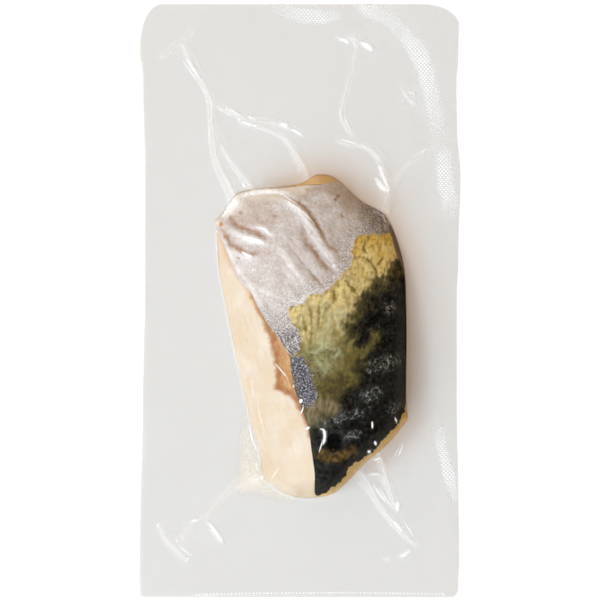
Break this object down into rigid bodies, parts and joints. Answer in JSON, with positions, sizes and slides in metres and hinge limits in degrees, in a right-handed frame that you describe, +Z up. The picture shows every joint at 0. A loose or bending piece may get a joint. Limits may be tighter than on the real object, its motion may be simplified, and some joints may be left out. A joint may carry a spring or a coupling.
{
  "type": "vacuum pack of grilled mackerel",
  "caption": "Clear vacuum pouch lying flat, drawn tight over a piece of grilled mackerel fillet with its skin side up.",
  "frame": {"origin": "on the underside of the pouch, in the middle of its length and width", "axes": "+X across the pouch, towards the dark back of the fish; +Y along the pouch, away from its sealed bottom edge; +Z up, out of the shown side"},
  "size_m": [0.13, 0.24, 0.0231],
  "materials": {
    "pouch_film": "gloss",
    "mackerel_skin": "satin",
    "mackerel_flesh": "satin",
    "cooking_juice": "gloss"
  },
  "bodies": {
    "root": {"vacuum_pouch": "pouch_film"}
  },
  "joints": []
}
